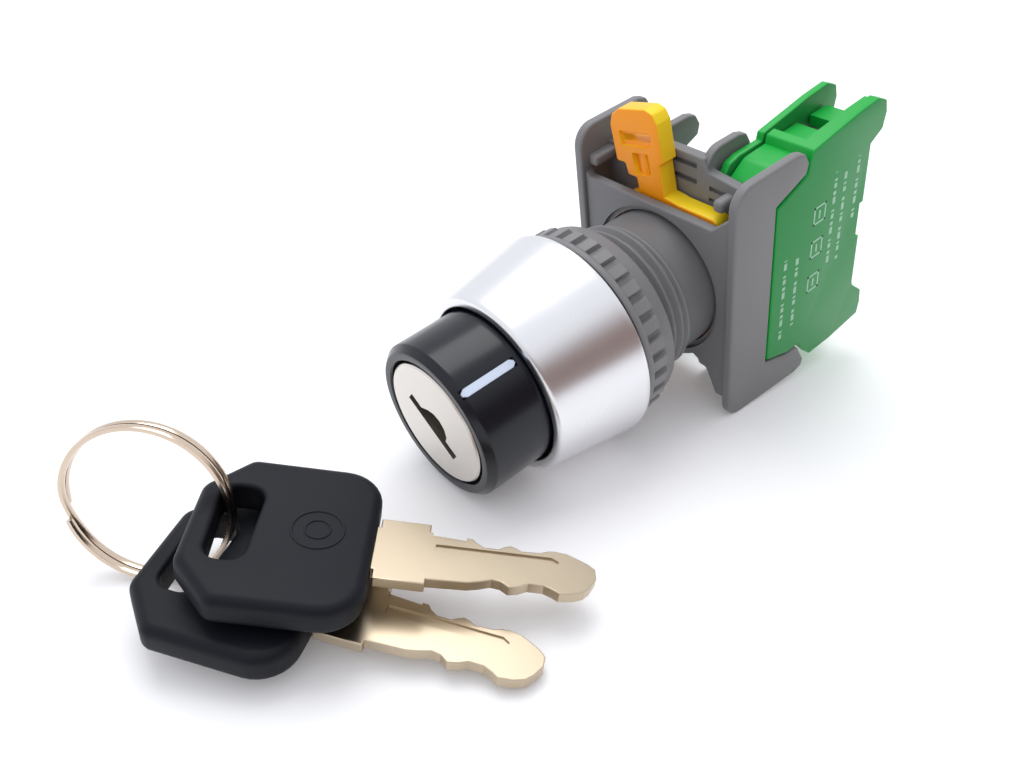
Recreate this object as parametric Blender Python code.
"""Selector key switch for a 22 mm panel hole, lying on a table beside its two keys.

Lengths are in millimetres and are scaled to metres when a mesh is made.

Switch frame: origin on the switch axis in the plane of the bezel's rear rim, +Y towards the
contact block, +Z up through the lock lever, +X to the right seen from the front.
Key frame: origin where the blade leaves the bow, +X along the blade to its tip, +Z out of
the flat side that faces up.
Table frame: +Z up, the table at Z = 0. The switch lies nose down on its bezel and holder.
"""

from math import asin, atan2, cos, degrees, hypot, pi, radians, sin, tau

import bmesh
import bpy
from mathutils import Matrix, Vector

MM = 0.001
GAP = 0.3                 # clearance between neighbouring pieces
RING_STEPS = 40           # facets round a large turned piece
PIN_STEPS = 14            # facets round a small one

# Bezel, thread and knob
PANEL_THREAD_RADIUS = 11.0
BEZEL_REAR_RADIUS = 14.75
BEZEL_FRONT_RADIUS = 12.6
BEZEL_FRONT_Y = -13.4
BEZEL_MOUTH_RADIUS = 11.2
BEZEL_LAND = 0.6          # straight edge in front of the rear rim
RIM_WIDTH = 0.4
KNOB_RADIUS = 10.85
KNOB_FRONT_Y = -22.9
KNOB_ANGLE = radians(51.8)        # the marker, counter-clockwise from +X seen from the front
KEY_TURN = radians(90.0)
MARKER_WIDTH = 1.5
MARKER_REAR_Y = -14.3
BORE_RADIUS = 9.2
BARREL_RADIUS = 10.2
BARREL_END_Y = 21.2
NUT_RIBS = 24

# Lock
DISC_RADIUS = 8.5
CORE_RADIUS = 6.0
CORE_END_Y = 3.0
TAIL_RADIUS = 4.2
TAIL_END_Y = 8.0
KEYWAY_LENGTH = 9.6
KEYWAY_WIDTH = 2.6
WAFER_COUNT = 5
WAFER_FIRST_Y = -18.5
WAFER_PITCH = 3.4
WAFER_THICKNESS = 1.0
WAFER_SLOT = 1.5
WAFER_TRAVEL = 0.8

# Cam and pushers
CAM_LIFT = 2.0
CAM_FRONT_Y = 4.0
CAM_LOW_Y = 6.0
PUSHER_X = 6.9
PUSHER_RADIUS = 1.2
PUSHER_FLANGE = 1.9
GUIDE_FRONT_Y = 15.0

# Holder and lock lever
HOLDER_HALF_WIDTH = 14.34
PLATE_THICKNESS = 1.5
PLATE_FRONT_Y = 16.2
PLATE_REAR_Y = 24.15
CORNER_Y = 18.7
CORNER_Z = -15.4
CORNER_RADIUS = 2.5
WALL_FRONT_Y = 16.8
WALL_REAR_Y = 18.3
BASE_FRONT_Y = 21.6
BASE_REAR_Y = 23.2
PRONG_INNER_X = 3.7
PRONG_OUTER_X = 5.0
HOLDER_BORE = 10.5
LEVER_FRONT_Y = 18.6
LEVER_REAR_Y = 21.3
LEVER_ANGLE = radians(102.7)
LEVER_TRAVEL = radians(25.0)

# Contact block
BLOCK_LEFT_X = 5.3
COVER_THICKNESS = 1.2
BLOCK_FRONT_Y = 23.5
BLOCK_REAR_Y = 44.2
BLOCK_TOP_Z = 17.3
BLOCK_FOOT_Z = -14.4
CAVITY_X = (6.8, 11.9)
CAVITY_Y = (25.3, 43.0)
CAVITY_Z = (-11.6, 15.8)
BLOCK_MID_X = 9.35
CONTACT_MID_Z = 1.5
BRIDGE_Y = 32.8
BRIDGE_TRAVEL = 1.6
STRIP_Y = 36.6
SCREW_OFFSET = 10.6       # terminal screw from the middle of the contacts, along Z

# Keys and ring
BOW_LENGTH = 20.2
BOW_HALF_WIDTH = 11.0
BOW_HALF_HEIGHT = 2.0
BLADE_HALF_HEIGHT = 1.05
BLADE_LENGTH = 24.6
RING_RADIUS = 9.6
RING_WIRE = 1.15
KEY_POSES = {             # blade root, heading and droop in the table frame
    "key_1": ((10.59, -38.95, 7.65), 48.1, 7.7),
    "key_2": ((10.15, -45.23, 3.60), 34.4, 5.5),
}
RING_CENTRE = (-10.12, -55.29, 10.07)
RING_NORMAL = (0.68, -0.709, 0.187)


# --------------------------------------------------------------------------- scene and materials

def clear_scene():
    for item in list(bpy.data.objects):
        bpy.data.objects.remove(item, do_unlink=True)


def material(name, color, roughness, metallic=0.0):
    found = bpy.data.materials.get(name)
    if found:
        return found
    made = bpy.data.materials.new(name)
    made.use_nodes = True
    made.diffuse_color = (*color, 1.0)
    shader = made.node_tree.nodes["Principled BSDF"]
    shader.inputs["Base Color"].default_value = (*color, 1.0)
    shader.inputs["Roughness"].default_value = roughness
    shader.inputs["Metallic"].default_value = metallic
    return made


FINISHES = {
    "aluminium": ((0.80, 0.80, 0.81), 0.32, 1.0),
    "grey_plastic": ((0.21, 0.21, 0.22), 0.55, 0.0),
    "black_gloss": ((0.006, 0.008, 0.014), 0.12, 0.0),
    "white_ink": ((0.75, 0.80, 0.88), 0.35, 0.0),
    "nickel": ((0.62, 0.58, 0.53), 0.28, 1.0),
    "brass": ((0.72, 0.52, 0.24), 0.30, 1.0),
    "spring_steel": ((0.55, 0.55, 0.56), 0.30, 1.0),
    "black_rubber": ((0.02, 0.02, 0.02), 0.80, 0.0),
    "orange_plastic": ((0.90, 0.28, 0.01), 0.35, 0.0),
    "green_plastic": ((0.02, 0.36, 0.09), 0.42, 0.0),
    "white_plastic": ((0.78, 0.78, 0.74), 0.45, 0.0),
    "silver_tip": ((0.85, 0.84, 0.80), 0.25, 1.0),
    "soft_black": ((0.018, 0.020, 0.024), 0.50, 0.0),
}


def make_object(name, points, faces, finish, frame, smooth=True):
    """One mesh object in the given frame, with its normals pointing out."""
    mesh = bpy.data.meshes.new(name)
    mesh.from_pydata([Vector(p) * MM for p in points], [], faces)
    shell = bmesh.new()
    shell.from_mesh(mesh)
    bmesh.ops.recalc_face_normals(shell, faces=shell.faces)
    shell.to_mesh(mesh)
    shell.free()
    if smooth:
        mesh.shade_smooth()
        mesh.set_sharp_from_angle(angle=radians(35.0))
    made = bpy.data.objects.new(name, mesh)
    bpy.context.scene.collection.objects.link(made)
    made.parent = frame
    if finish:
        mesh.materials.append(material(finish, *FINISHES[finish]))
    return made


def make_frame(name, matrix):
    empty = bpy.data.objects.new(name, None)
    bpy.context.scene.collection.objects.link(empty)
    empty.empty_display_size = 0.01
    empty.matrix_world = matrix
    return empty


def set_origin(item, point):
    """Moves an object's origin to a point of its parent's frame and leaves its shape in place."""
    offset = Vector(point) * MM
    item.data.transform(Matrix.Translation(-offset))
    item.location = offset


# --------------------------------------------------------------------------- shape helpers

def polar(radius, angle):
    return radius * cos(angle), radius * sin(angle)


def arc(centre, radius, start, end, steps):
    """Points of an arc, with its angles in degrees and both ends included."""
    angles = [radians(start + (end - start) * i / steps) for i in range(steps + 1)]
    return [(centre[0] + radius * cos(a), centre[1] + radius * sin(a)) for a in angles]


def rounded(corners, steps=3):
    """A polygon whose (a, b, radius) corners are rounded; (a, b) corners stay sharp."""
    result = []
    count = len(corners)
    for index, corner in enumerate(corners):
        here = Vector(corner[:2])
        if len(corner) == 2:
            result.append(tuple(here))
            continue
        before = (Vector(corners[index - 1][:2]) - here).normalized()
        after = (Vector(corners[(index + 1) % count][:2]) - here).normalized()
        half = before.angle(after) / 2
        reach = corner[2] / abs(sin(half) / cos(half))
        centre = here + (before + after).normalized() * (corner[2] / sin(half))
        first = here + before * reach - centre
        last = here + after * reach - centre
        turn = first.angle_signed(last)
        for step in range(steps + 1):
            spoke = first.copy()
            spoke.rotate(Matrix.Rotation(-turn * step / steps, 2))
            result.append(tuple(centre + spoke))
    return result


def lathe(name, profile, finish, frame, steps=RING_STEPS, angles=None, centre=(0.0, 0.0)):
    """A turned solid about Y from (radius, y) points.

    A profile that starts and ends on the axis makes a solid; any other is closed on itself and
    makes a ring. It may be a function of the angle.
    """
    angles = angles or [tau * i / steps for i in range(steps)]
    shape = profile if callable(profile) else (lambda angle: profile)
    points = []
    columns = []
    poles = {}
    for angle in angles:
        column = []
        for row, (radius, y) in enumerate(shape(angle)):
            if radius == 0.0:
                if row not in poles:
                    poles[row] = len(points)
                    points.append((centre[0], y, centre[1]))
                column.append(poles[row])
            else:
                a, b = polar(radius, angle)
                column.append(len(points))
                points.append((centre[0] + a, y, centre[1] + b))
        columns.append(column)
    rows = len(columns[0])
    spans = rows - 1 if poles else rows
    faces = []
    for index, column in enumerate(columns):
        other = columns[(index + 1) % len(columns)]
        for row in range(spans):
            nxt = (row + 1) % rows
            corners = [column[row], column[nxt], other[nxt], other[row]]
            face = list(dict.fromkeys(corners))
            if len(face) > 2:
                faces.append(face)
    return make_object(name, points, faces, finish, frame)


def prism(name, outline, axis, low, high, finish, frame, smooth=True):
    """An outline extruded along one axis; it is given in the other two axes, in X, Y, Z order."""
    def place(pair, level):
        values = list(pair)
        values.insert("XYZ".index(axis), level)
        return tuple(values)
    count = len(outline)
    points = [place(pair, low) for pair in outline] + [place(pair, high) for pair in outline]
    faces = [list(range(count)), list(range(count, 2 * count))[::-1]]
    for i in range(count):
        j = (i + 1) % count
        faces.append([i, j, j + count, i + count])
    return make_object(name, points, faces, finish, frame, smooth)


def block(name, x, y, z, finish, frame):
    """A box between the given limits."""
    outline = [(x[0], y[0]), (x[1], y[0]), (x[1], y[1]), (x[0], y[1])]
    return prism(name, outline, "Z", z[0], z[1], finish, frame, smooth=False)


def spring(name, radius, wire, y, turns, finish, frame, centre, per_turn=9, sides=5):
    """A coil along Y between two heights, as one closed tube."""
    steps = int(turns * per_turn)
    rise = (y[1] - y[0] - 2 * wire) / steps
    points = []
    for step in range(steps + 1):
        angle = tau * step / per_turn
        for side in range(sides):
            reach, lift = polar(wire, tau * side / sides)
            a, b = polar(radius + reach, angle)
            points.append((centre[0] + a, y[0] + wire + step * rise + lift, centre[1] + b))
    faces = []
    for step in range(steps):
        for side in range(sides):
            a = step * sides + side
            b = step * sides + (side + 1) % sides
            faces.append([a, b, b + sides, a + sides])
    faces.append(list(range(sides)))
    faces.append(list(range(steps * sides, (steps + 1) * sides))[::-1])
    return make_object(name, points, faces, finish, frame)


def boolean(target, tool, operation, solver="EXACT"):
    modifier = target.modifiers.new(operation.title(), "BOOLEAN")
    modifier.object = tool
    modifier.operation = operation
    modifier.solver = solver
    tool.hide_render = True
    tool.display_type = "WIRE"
    return target


def cut(target, tool, solver="EXACT"):
    return boolean(target, tool, "DIFFERENCE", solver)


def join(target, tool):
    return boolean(target, tool, "UNION")


# --------------------------------------------------------------------------- bezel, nut and knob

def bezel(frame):
    rear = BEZEL_REAR_RADIUS
    rim = rear - RIM_WIDTH
    profile = [
        (BEZEL_MOUTH_RADIUS, -12.9), (BEZEL_MOUTH_RADIUS + 0.3, BEZEL_FRONT_Y),
        (BEZEL_FRONT_RADIUS - 0.4, BEZEL_FRONT_Y), (BEZEL_FRONT_RADIUS, BEZEL_FRONT_Y + 0.4),
        (rear, -BEZEL_LAND), (rear, 0.0), (rim, 0.0), (rim, -0.4), (12.35, -0.4),
        (12.35, -11.7), (BEZEL_MOUTH_RADIUS, -11.7),
    ]
    lathe("bezel", profile, "aluminium", frame)


def gasket(frame):
    outer = BEZEL_REAR_RADIUS - RIM_WIDTH - 0.15
    lathe("gasket", [(11.3, -0.1), (outer, -0.1), (outer, 0.5), (11.3, 0.5)],
          "black_rubber", frame)


def ring_nut(frame):
    """Flanged nut with axial grip ribs. Each rib takes four angles, two for each of its sides."""
    bore = PANEL_THREAD_RADIUS + 0.2
    pitch = tau / NUT_RIBS
    angles = []
    for rib in range(NUT_RIBS):
        angles += [(rib + part) * pitch for part in (0.0, 0.5, 0.52, 0.98)]

    def profile(angle):
        on_rib = (angle / pitch) % 1.0 < 0.51
        grip = 13.7 if on_rib else 12.7
        return [(bore, 0.75), (14.0, 0.75), (14.0, 1.8), (grip, 1.8), (grip, 5.2),
                (12.6, 5.3), (12.4, 6.9), (bore, 6.9)]
    lathe("ring_nut", profile, "grey_plastic", frame, angles=angles)


def operator_barrel(frame):
    thread = PANEL_THREAD_RADIUS - 0.15
    profile = [
        (11.15, -11.4), (12.05, -11.4), (12.05, -0.4), (thread, -0.4), (thread, 12.2),
        (BARREL_RADIUS, 12.6), (BARREL_RADIUS, 18.7), (9.7, 18.7), (9.7, 20.5),
        (BARREL_RADIUS, 20.5), (BARREL_RADIUS, BARREL_END_Y), (BORE_RADIUS, BARREL_END_Y),
        (BORE_RADIUS, -1.6), (11.15, -1.6),
    ]
    lathe("operator_barrel", profile, "grey_plastic", frame)


def turned_box(name, along, across, y, angle, frame, finish=None):
    """A box whose first pair of limits lies along a direction in the XZ plane."""
    a, b = cos(angle), sin(angle)
    outline = [(s * a - p * b, s * b + p * a)
               for s, p in ((along[0], across[0]), (along[1], across[0]),
                            (along[1], across[1]), (along[0], across[1]))]
    return prism(name, outline, "Y", y[0], y[1], finish, frame, smooth=False)


def knob(frame):
    front = KNOB_FRONT_Y
    profile = [
        (DISC_RADIUS + GAP, front + 0.4), (9.2, front), (10.2, front), (10.7, front + 0.5),
        (KNOB_RADIUS, front + 1.1), (KNOB_RADIUS, -2.0), (7.9, -2.0), (7.9, front + 1.9),
        (DISC_RADIUS + GAP, front + 1.9),
    ]
    body = lathe("knob", profile, "black_gloss", frame)
    groove = turned_box("marker_groove", (9.9, 12.0), (-1.0, 1.0),
                        (front + 0.9, MARKER_REAR_Y + 0.25), KNOB_ANGLE, frame)
    cut(body, groove)
    turned_box("knob_marker", (10.2, KNOB_RADIUS - 0.05),
               (-MARKER_WIDTH / 2, MARKER_WIDTH / 2), (front + 1.15, MARKER_REAR_Y),
               KNOB_ANGLE, frame, "white_ink")


# --------------------------------------------------------------------------- lock

def wafer_y(index):
    return WAFER_FIRST_Y + WAFER_PITCH * index


def along_keyway(point):
    """A point given along and across the keyway, in the switch's XZ plane."""
    angle = KNOB_ANGLE - pi / 2
    s, p = point
    return s * cos(angle) - p * sin(angle), s * sin(angle) + p * cos(angle)


def lock_plug(frame):
    front = KNOB_FRONT_Y
    profile = [
        (0.0, front), (DISC_RADIUS - 0.3, front), (DISC_RADIUS, front + 0.3),
        (DISC_RADIUS, front + 1.6), (CORE_RADIUS, front + 1.6), (CORE_RADIUS, CORE_END_Y),
        (TAIL_RADIUS, CORE_END_Y), (TAIL_RADIUS, 6.2), (3.6, 6.2), (3.6, 7.1),
        (TAIL_RADIUS, 7.1), (TAIL_RADIUS, TAIL_END_Y), (0.0, TAIL_END_Y),
    ]
    plug = lathe("lock_plug", profile, "nickel", frame)
    half = KEYWAY_LENGTH / 2
    keyway = turned_box("keyway", (-half, half), (-KEYWAY_WIDTH / 2, KEYWAY_WIDTH / 2),
                        (front - 1.0, 1.2), KNOB_ANGLE - pi / 2, frame)
    cut(plug, keyway)
    pocket = [(-7, -2.6), (7, -2.6), (7, 2.6), (3.3, 2.6), (3.3, 4.6), (-2.7, 4.6), (-2.7, 2.6),
              (-7, 2.6)]
    outline = [along_keyway(point) for point in pocket]
    for index in range(WAFER_COUNT):
        middle = wafer_y(index)
        slot = prism(f"wafer_slot_{index + 1}", outline, "Y", middle - WAFER_SLOT / 2,
                     middle + WAFER_SLOT / 2, None, frame, smooth=False)
        cut(plug, slot)


def wafers(frame):
    """Five flat tumblers that slide along the keyway, each with its own small spring."""
    end = CORE_RADIUS - 0.1
    half_angle = degrees(asin(2.3 / end))
    tab = [(-1.0, 2.3), (-1.0, 4.2), (-2.3, 4.2), (-2.3, 2.3)]
    shape = arc((0, 0), end, -half_angle, half_angle, 3) + tab
    shape += arc((0, 0), end, 180 - half_angle, 180 + half_angle, 3)
    outline = [along_keyway(point) for point in shape]
    half = KEYWAY_LENGTH / 2 + 0.1
    for index in range(WAFER_COUNT):
        middle = wafer_y(index)
        front, rear = middle - WAFER_THICKNESS / 2, middle + WAFER_THICKNESS / 2
        plate = prism(f"wafer_{index + 1}", outline, "Y", front, rear, "brass", frame)
        window = turned_box(f"wafer_window_{index + 1}", (-half, half), (-1.4, 1.4),
                            (front - 1, rear + 1), KNOB_ANGLE - pi / 2, frame)
        cut(plate, window)
        coil = spring(f"wafer_spring_{index + 1}", 0.42, 0.12, (0.0, 3.4), 4, "spring_steel",
                      frame, (0.0, 0.0), per_turn=7, sides=4)
        x, z = along_keyway((-0.5, 3.4))
        turn = Matrix.Rotation(-(KNOB_ANGLE - pi / 2), 4, "Y")
        stand = Matrix.Rotation(-pi / 2, 4, "Z")
        coil.data.transform(turn @ stand)
        coil.location = Vector((x, middle, z)) * MM


def lock_shell(frame):
    profile = [(6.25, -20.7), (7.6, -20.7), (7.6, 0.0), (8.9, 0.0), (8.9, 1.5), (6.25, 1.5)]
    shell = lathe("lock_shell", profile, "nickel", frame)
    reach = CORE_RADIUS + WAFER_TRAVEL + GAP
    for index, angle in enumerate((KNOB_ANGLE, KNOB_ANGLE - pi / 2)):
        groove = turned_box(f"wafer_groove_{index + 1}", (-reach, reach), (-2.9, 2.9),
                            (-20.1, -3.6), angle, frame)
        cut(shell, groove)


def cam(frame):
    """Face cam: low towards +X and up, high towards -X and down, with a ramp on each side."""
    def height(angle):
        turn = degrees(angle) % 360.0
        if turn <= 90.0:
            return 0.0
        if turn < 180.0:
            return CAM_LIFT * (turn - 90.0) / 90.0
        if turn <= 270.0:
            return CAM_LIFT
        return CAM_LIFT * (360.0 - turn) / 90.0

    def profile(angle):
        top = CAM_LOW_Y + height(angle)
        return [(4.5, CAM_FRONT_Y), (8.8, CAM_FRONT_Y), (8.8, top), (5.3, top),
                (5.3, CAM_LOW_Y - 0.1), (4.5, CAM_LOW_Y - 0.1)]
    lathe("cam", profile, "white_plastic", frame, steps=32)


def retaining_clip(frame):
    outer = arc((0, 0), 5.0, -150, 150, 10)
    inner = arc((0, 0), 3.8, 150, -150, 10)
    prism("retaining_clip", outer + inner, "Y", 6.35, 6.95, "spring_steel", frame)


def pusher(name, side, lift, frame):
    """Round pin with a spring flange, pressed rearwards by the cam."""
    tip = CAM_LOW_Y + GAP + lift
    profile = [
        (0.0, tip), (PUSHER_RADIUS, tip), (PUSHER_RADIUS, tip + 2.7), (PUSHER_FLANGE, tip + 2.7),
        (PUSHER_FLANGE, tip + 3.5), (PUSHER_RADIUS, tip + 3.5),
        (PUSHER_RADIUS, BARREL_END_Y + lift), (0.0, BARREL_END_Y + lift),
    ]
    centre = (side * PUSHER_X, 0.0)
    pin = lathe(f"pusher_{name}", profile, "white_plastic", frame, PIN_STEPS, centre=centre)
    set_origin(pin, (centre[0], tip, 0.0))
    spring(f"pusher_spring_{name}", 1.75, 0.2, (tip + 3.5 + GAP, GUIDE_FRONT_Y - GAP), 4,
           "spring_steel", frame, centre)


def pusher_guide(frame):
    plate = lathe("pusher_guide", [(2.0, GUIDE_FRONT_Y), (8.9, GUIDE_FRONT_Y),
                                   (8.9, 16.8), (2.0, 16.8)], "grey_plastic", frame, 30)
    for side in (-1, 1):
        hole = lathe(f"pusher_hole_{side + 2}", [(0.0, 14.0), (PUSHER_RADIUS + 0.25, 14.0),
                                                 (PUSHER_RADIUS + 0.25, 18.0), (0.0, 18.0)],
                     None, frame, PIN_STEPS, centre=(side * PUSHER_X, 0.0))
        cut(plate, hole, "MANIFOLD")


# --------------------------------------------------------------------------- holder and lever

def plate_outline(front):
    """Side outline of the holder's plates and prongs, as (y, z)."""
    lower = arc((CORNER_Y + front - PLATE_FRONT_Y, CORNER_Z), CORNER_RADIUS, 180, 270, 5)
    top = arc((front + 3.0, 16.2), 3.0, 90, 180, 4)
    return lower + [
        (31.2, -18.8), (33.0, -18.4), (33.4, -17.2), (31.7, -14.1), (30.9, -13.6),
        (29.2, -13.7), (PLATE_REAR_Y, -12.2), (PLATE_REAR_Y, 13.5), (30.0, 15.6),
        (30.4, 17.1), (29.5, 18.7), (28.0, 19.2),
    ] + top


def holder(frame):
    """Snap-on frame that ties the contact blocks to the operator."""
    half = HOLDER_HALF_WIDTH
    inner = half - PLATE_THICKNESS
    body = prism("holder", [(-inner - 0.4, -14.6), (inner + 0.4, -14.6), (inner + 0.4, 15.4),
                            (5.2, 16.4), (4.4, 18.2), (-4.4, 18.2), (-5.2, 16.4),
                            (-inner - 0.4, 15.4)],
                 "Y", BASE_FRONT_Y, BASE_REAR_Y, "grey_plastic", frame)
    for name, low, high in (("left", -half, -inner), ("right", inner, half)):
        join(body, prism(f"holder_plate_{name}", plate_outline(PLATE_FRONT_Y), "X", low, high,
                         None, frame))
    for name, low, high in (("left", -PRONG_OUTER_X, -PRONG_INNER_X),
                            ("right", PRONG_INNER_X, PRONG_OUTER_X)):
        join(body, prism(f"holder_prong_{name}", plate_outline(BASE_FRONT_Y), "X", low, high,
                         None, frame))
    skirt = arc((0, 0), 12.1, -125, -55, 6)
    wall = [(-inner - 0.4, -15.0), (-11.2, -15.0), (-9.4, -11.3)] + skirt
    wall += [(9.4, -11.3), (11.2, -15.0), (inner + 0.4, -15.0), (inner + 0.4, 12.0),
             (-inner - 0.4, 12.0)]
    join(body, prism("holder_wall", wall, "Y", WALL_FRONT_Y, WALL_REAR_Y, None, frame))
    join(body, block("seat_pad_centre", (-2.5, 2.5), (BASE_REAR_Y - 0.3, BASE_REAR_Y + GAP),
                     (-14.0, -11.4), None, frame))
    join(body, block("seat_pad_left", (-11.6, -6.4), (BASE_REAR_Y - 0.3, BASE_REAR_Y + GAP),
                     (-14.0, -11.4), None, frame))
    bore = [(0.0, 15.0), (HOLDER_BORE, 15.0), (HOLDER_BORE, 25.0), (0.0, 25.0)]
    cut(body, lathe("holder_bore", bore, None, frame))
    cut(body, block("lever_relief", (inner - 0.2, inner + 0.85), (WALL_REAR_Y, BASE_FRONT_Y),
                    (4.0, 10.2), None, frame))
    return body


def in_lever(radial, side):
    """A point of the lever's handle, from the switch axis and to the handle's right."""
    d = (cos(LEVER_ANGLE), sin(LEVER_ANGLE))
    return radial * d[0] + side * d[1], radial * d[1] - side * d[0]


def lock_lever(frame):
    """Bayonet ring round the barrel with a thumb handle and a straight shoulder."""
    handle = [in_lever(*point) for point in (
        (11.0, -1.6), (14.6, -1.6), (14.9, -3.0), (16.6, -3.2), (16.7, -4.3),
        (21.6, -4.1), (22.9, -3.5), (23.5, -2.3), (23.6, 2.4), (23.1, 3.5), (21.8, 4.0),
        (16.0, 3.7), (11.0, 3.3))]
    front, rear = LEVER_FRONT_Y, LEVER_REAR_Y
    ring = [(12.4, front), (12.4, rear), (10.5, rear), (10.5, 20.1), (10.0, 20.1), (10.0, 19.1),
            (10.5, 19.1), (10.5, front)]
    lever = lathe("lock_lever", ring, "orange_plastic", frame)
    join(lever, prism("lever_handle", handle, "Y", front, rear, None, frame))
    shoulder = [(-1.5, 11.4), (8.3, 8.3), (9.4, 11.0), (9.2, 11.9), (8.6, 12.2), (-0.5, 12.2)]
    join(lever, prism("lever_shoulder", shoulder, "Y", front, rear, None, frame))
    window = [in_lever(*point) for point in ((19.2, -1.6), (20.3, -1.6), (20.3, 1.8), (19.2, 1.8))]
    cut(lever, prism("lever_window", window, "Y", front - 1, rear + 1, None, frame))
    return lever


# --------------------------------------------------------------------------- contact block

def block_outline():
    """Side outline of the contact block behind the holder's plates, as (y, z)."""
    foot = [(24.45, -11.9), (29.0, -13.35), (31.7, -13.3), (34.8, -17.2), (39.6, -17.2),
            (46.7, -16.4), (47.1, -14.3), (46.9, -12.0), (44.5, -9.8)]
    rear = [(BLOCK_REAR_Y, -9.0), (BLOCK_REAR_Y, 13.8)]
    head = [(46.6, 15.1), (47.1, 17.4), (46.7, 19.2), (44.7, 20.2), (40.6, 19.9), (33.8, 18.9),
            (31.1, 18.5), (30.8, 17.4), (30.4, 15.35), (24.45, 13.15)]
    return foot + rear + head


def block_housing(frame):
    left, right = CAVITY_X
    inner = HOLDER_HALF_WIDTH - PLATE_THICKNESS
    body = prism("block_housing", block_outline(), "X", left, HOLDER_HALF_WIDTH,
                 "green_plastic", frame)
    nose = [(BLOCK_FRONT_Y, -10.9), (32.0, -10.9), (32.0, 17.35), (26.2, 17.4), (24.4, 16.9),
            (BLOCK_FRONT_Y, 15.6)]
    join(body, prism("block_nose", nose, "X", left, inner - 0.35, None, frame))
    cut(body, block("top_channel", (left - 1, inner), (32.5, 48.0), (BLOCK_TOP_Z, 22.0),
                    None, frame))
    cut(body, block("foot_channel", (left - 1, inner), (33.5, 48.0), (-20.0, BLOCK_FOOT_Z),
                    None, frame))
    cut(body, block("rear_channel", (left - 1, inner), (BLOCK_REAR_Y, 48.0), (-20.0, 22.0),
                    None, frame))
    cut(body, block("block_cavity", (left - 1, right), CAVITY_Y, CAVITY_Z, None, frame))
    cut(body, block("plunger_hole", (left - 1, 10.2), (23.0, 26.0), (-1.95, 1.95), None, frame))
    for name, side in (("top", 1), ("bottom", -1)):
        z = CONTACT_MID_Z + side * SCREW_OFFSET
        hole = [(0.0, 42.0), (2.7, 42.0), (2.7, 46.0), (0.0, 46.0)]
        cut(body, lathe(f"screw_hole_{name}", hole, None, frame, PIN_STEPS,
                        centre=(BLOCK_MID_X, z)))
        wire = sorted((CONTACT_MID_Z + side * 11.0, CONTACT_MID_Z + side * 17.5))
        cut(body, block(f"wire_entry_{name}", (left - 1, right), (37.7, 40.6), wire,
                        None, frame))
    return body


def block_cover(frame):
    outline = block_outline()
    outline[-3:] = [(30.8, 17.4), (26.2, 17.4), (24.4, 16.9), (BLOCK_FRONT_Y, 15.6),
                    (BLOCK_FRONT_Y, -10.9)]
    prism("block_cover", outline, "X", BLOCK_LEFT_X, BLOCK_LEFT_X + COVER_THICKNESS,
          "green_plastic", frame)


def block_plunger(frame):
    """Head in front of the block, carriage with a window for the contact bridge inside it."""
    low, high = CONTACT_MID_Z - 3.1, CONTACT_MID_Z + 3.1
    body = block("block_plunger", (7.2, 11.5), (26.8, 36.5), (low, high), "white_plastic", frame)
    join(body, block("plunger_head", (7.0, 9.9), (21.5, 27.2), (-1.5, 1.5), None, frame))
    cut(body, block("bridge_window", (8.0, 10.7), (28.6, 33.7), (low - 1, high + 1),
                    None, frame))
    return body


def contact_bridge(frame):
    z = CONTACT_MID_Z
    block("contact_bridge", (8.3, 10.4), (BRIDGE_Y, BRIDGE_Y + 0.6), (z - 6.5, z + 6.5),
          "brass", frame)
    rear = BRIDGE_Y + 0.6
    for name, side in (("top", 1), ("bottom", -1)):
        centre = (BLOCK_MID_X, z + side * 5.4)
        for kind, low, high in (("bridge", rear + 0.2, rear + 0.7),
                                ("fixed", STRIP_Y - 0.7, STRIP_Y - 0.2)):
            lathe(f"{kind}_tip_{name}", [(0.0, low), (0.9, low), (0.9, high), (0.0, high)],
                  "silver_tip", frame, 10, centre=centre)


def terminal(name, side, frame):
    """Contact strip, clamp plate and screw of one end of the block."""
    z = CONTACT_MID_Z + side * SCREW_OFFSET
    inner, outer = CONTACT_MID_Z + side * 4.2, CONTACT_MID_Z + side * 12.0
    centre = (BLOCK_MID_X, z)
    strip = block(f"fixed_contact_{name}", (7.3, 11.4), (STRIP_Y, STRIP_Y + 0.7),
                  sorted((inner, outer)), "brass", frame)
    plate = block(f"clamp_plate_{name}", (7.2, 11.5), (40.9, 41.6),
                  sorted((z - side * 2.2, CONTACT_MID_Z + side * 12.1)), "spring_steel", frame)
    for target in (strip, plate):
        hole = [(0.0, 35.0), (1.6, 35.0), (1.6, 42.5), (0.0, 42.5)]
        cut(target, lathe(f"{target.name}_hole", hole, None, frame, 10, centre=centre))
    profile = [(0.0, 34.6), (1.3, 34.6), (1.3, 41.9), (2.3, 41.9), (2.3, 43.0), (2.0, 43.5),
               (0.0, 43.5)]
    screw = lathe(f"terminal_screw_{name}", profile, "spring_steel", frame, PIN_STEPS,
                  centre=centre)
    cut(screw, block(f"screw_slot_{name}", (BLOCK_MID_X - 3, BLOCK_MID_X + 3), (42.8, 44.5),
                     (z - 0.35, z + 0.35), None, frame))
    set_origin(screw, (BLOCK_MID_X, 0.0, z))
    for tool in (f"screw_slot_{name}",):
        bpy.data.objects[tool].parent = frame


def block_springs(frame):
    centre = (BLOCK_MID_X, CONTACT_MID_Z)
    spring("contact_spring", 0.85, 0.17, (28.9, 32.3), 4, "spring_steel", frame, centre)
    spring("return_spring", 1.6, 0.2, (36.8, 42.7), 5, "spring_steel", frame, centre)


# --------------------------------------------------------------------------- keys and split ring

def key_frame(pose):
    (x, y, z), heading, droop = pose
    turn = Matrix.Rotation(radians(heading), 4, "Z") @ Matrix.Rotation(radians(droop), 4, "Y")
    return Matrix.Translation(Vector((x, y, z)) * MM) @ turn


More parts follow.
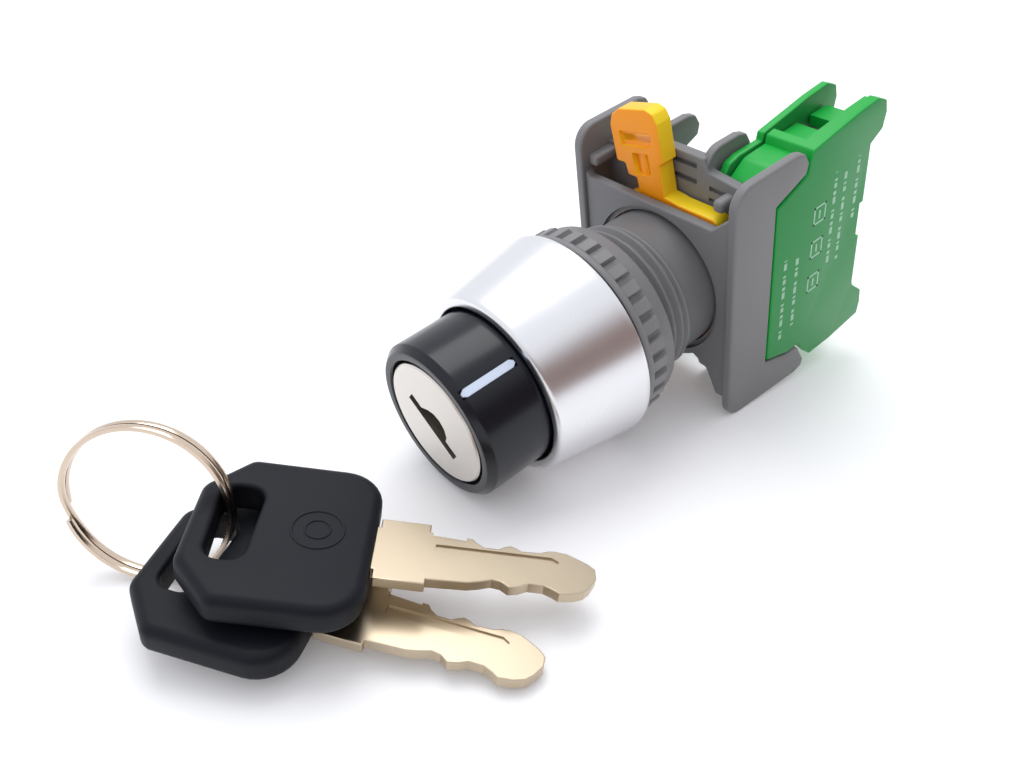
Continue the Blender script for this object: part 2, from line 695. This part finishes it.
def key_bow(name, frame):
    """Moulded head with a long slot for the ring."""
    end, half = -BOW_LENGTH, BOW_HALF_WIDTH
    outline = rounded([(0.0, -half, 5.0), (0.0, half, 5.0), (end + 4.6, half, 1.5),
                       (end, half - 5.2, 1.5), (end, 5.2 - half, 1.5), (end + 4.6, -half, 1.5)])
    high = BOW_HALF_HEIGHT
    bow = prism(f"{name}_bow", outline, "Z", -high, high, "soft_black", frame)
    slot = rounded([(-17.9, -6.4, 1.6), (-12.8, -6.4, 1.6), (-12.8, 6.0, 1.6), (-17.9, 6.0, 1.6)])
    cut(bow, prism(f"{name}_slot", slot, "Z", -high - 1, high + 1, None, frame))
    cut(bow, block(f"{name}_pocket", (-9.0, 1.0), (-3.5, 3.5), (-1.35, 1.35), None, frame))


def key_blade(name, frame):
    """Flat blade, cut on both edges, with a wide shoulder next to the bow."""
    shank = [(-8.7, 3.2), (-8.7, -3.2), (GAP, -3.2), (GAP, -4.5), (5.9, -4.5), (5.9, -3.8)]
    lower = [(10.4, -3.6), (13.0, -2.8), (14.9, -3.6), (17.0, -2.8), (18.7, -2.8), (20.4, -3.7),
             (22.0, -3.5), (23.9, -2.2)]
    tip = [(BLADE_LENGTH, -0.8), (BLADE_LENGTH - 0.1, 0.5)]
    upper = [(22.6, 1.8), (20.0, 2.6), (18.3, 2.1), (16.2, 2.0), (14.9, 2.6), (13.6, 1.9),
             (12.0, 1.9), (10.7, 3.0), (5.9, 3.3), (5.9, 4.5), (GAP, 4.5), (GAP, 3.2)]
    prism(f"{name}_blade", shank + lower + tip + upper, "Z", -BLADE_HALF_HEIGHT,
          BLADE_HALF_HEIGHT, "nickel", frame)


def split_ring(frame):
    """Two touching turns of wire, drawn as one flat oval section."""
    section = [(0.55 * cos(a), RING_WIRE * sin(a)) for a in (tau * i / 8 for i in range(8))]
    lathe("split_ring", [(RING_RADIUS + r, y) for r, y in section], "nickel", frame, 36)


# --------------------------------------------------------------------------- placing

def switch_frame():
    """Stands the switch on the bezel's widest edge and the holder's lower front corners."""
    run = CORNER_Y + BEZEL_LAND
    drop = BEZEL_REAR_RADIUS + CORNER_Z
    tilt = asin(CORNER_RADIUS / hypot(run, drop)) - atan2(drop, run)
    height = BEZEL_REAR_RADIUS * cos(tilt) + BEZEL_LAND * sin(tilt)
    return Matrix.Translation((0, 0, height * MM)) @ Matrix.Rotation(tilt, 4, "X")


def ring_frame():
    """Centre of the split ring, with +Y along the ring's own axis."""
    normal = Vector(RING_NORMAL).normalized()
    turn = Vector((0, 1, 0)).rotation_difference(normal).to_matrix().to_4x4()
    return Matrix.Translation(Vector(RING_CENTRE) * MM) @ turn


def centre_on_table(frames):
    """Moves everything so that the middle of its box stands over the origin, on the table."""
    bpy.context.view_layer.update()
    visible = [item for item in bpy.data.objects if item.type == "MESH" and not item.hide_render]
    corners = [item.matrix_world @ vertex.co for item in visible for vertex in item.data.vertices]
    low = Vector(min(c[i] for c in corners) for i in range(3))
    high = Vector(max(c[i] for c in corners) for i in range(3))
    shift = Vector((-(low.x + high.x) / 2, -(low.y + high.y) / 2, -low.z))
    for frame in frames:
        frame.matrix_world = Matrix.Translation(shift) @ frame.matrix_world


def build():
    clear_scene()
    switch = make_frame("switch_axis", switch_frame())
    for make in (bezel, gasket, ring_nut, operator_barrel, knob, lock_plug, wafers, lock_shell,
                 cam, retaining_clip, pusher_guide, holder, lock_lever, block_housing,
                 block_cover, block_plunger, contact_bridge, block_springs):
        make(switch)
    pusher("right", 1, 0.0, switch)
    pusher("left", -1, CAM_LIFT, switch)
    terminal("top", 1, switch)
    terminal("bottom", -1, switch)
    frames = [switch]
    for name, pose in KEY_POSES.items():
        frame = make_frame(f"{name}_frame", key_frame(pose))
        key_bow(name, frame)
        key_blade(name, frame)
        frames.append(frame)
    ring = make_frame("ring_axis", ring_frame())
    split_ring(ring)
    frames.append(ring)
    centre_on_table(frames)


build()
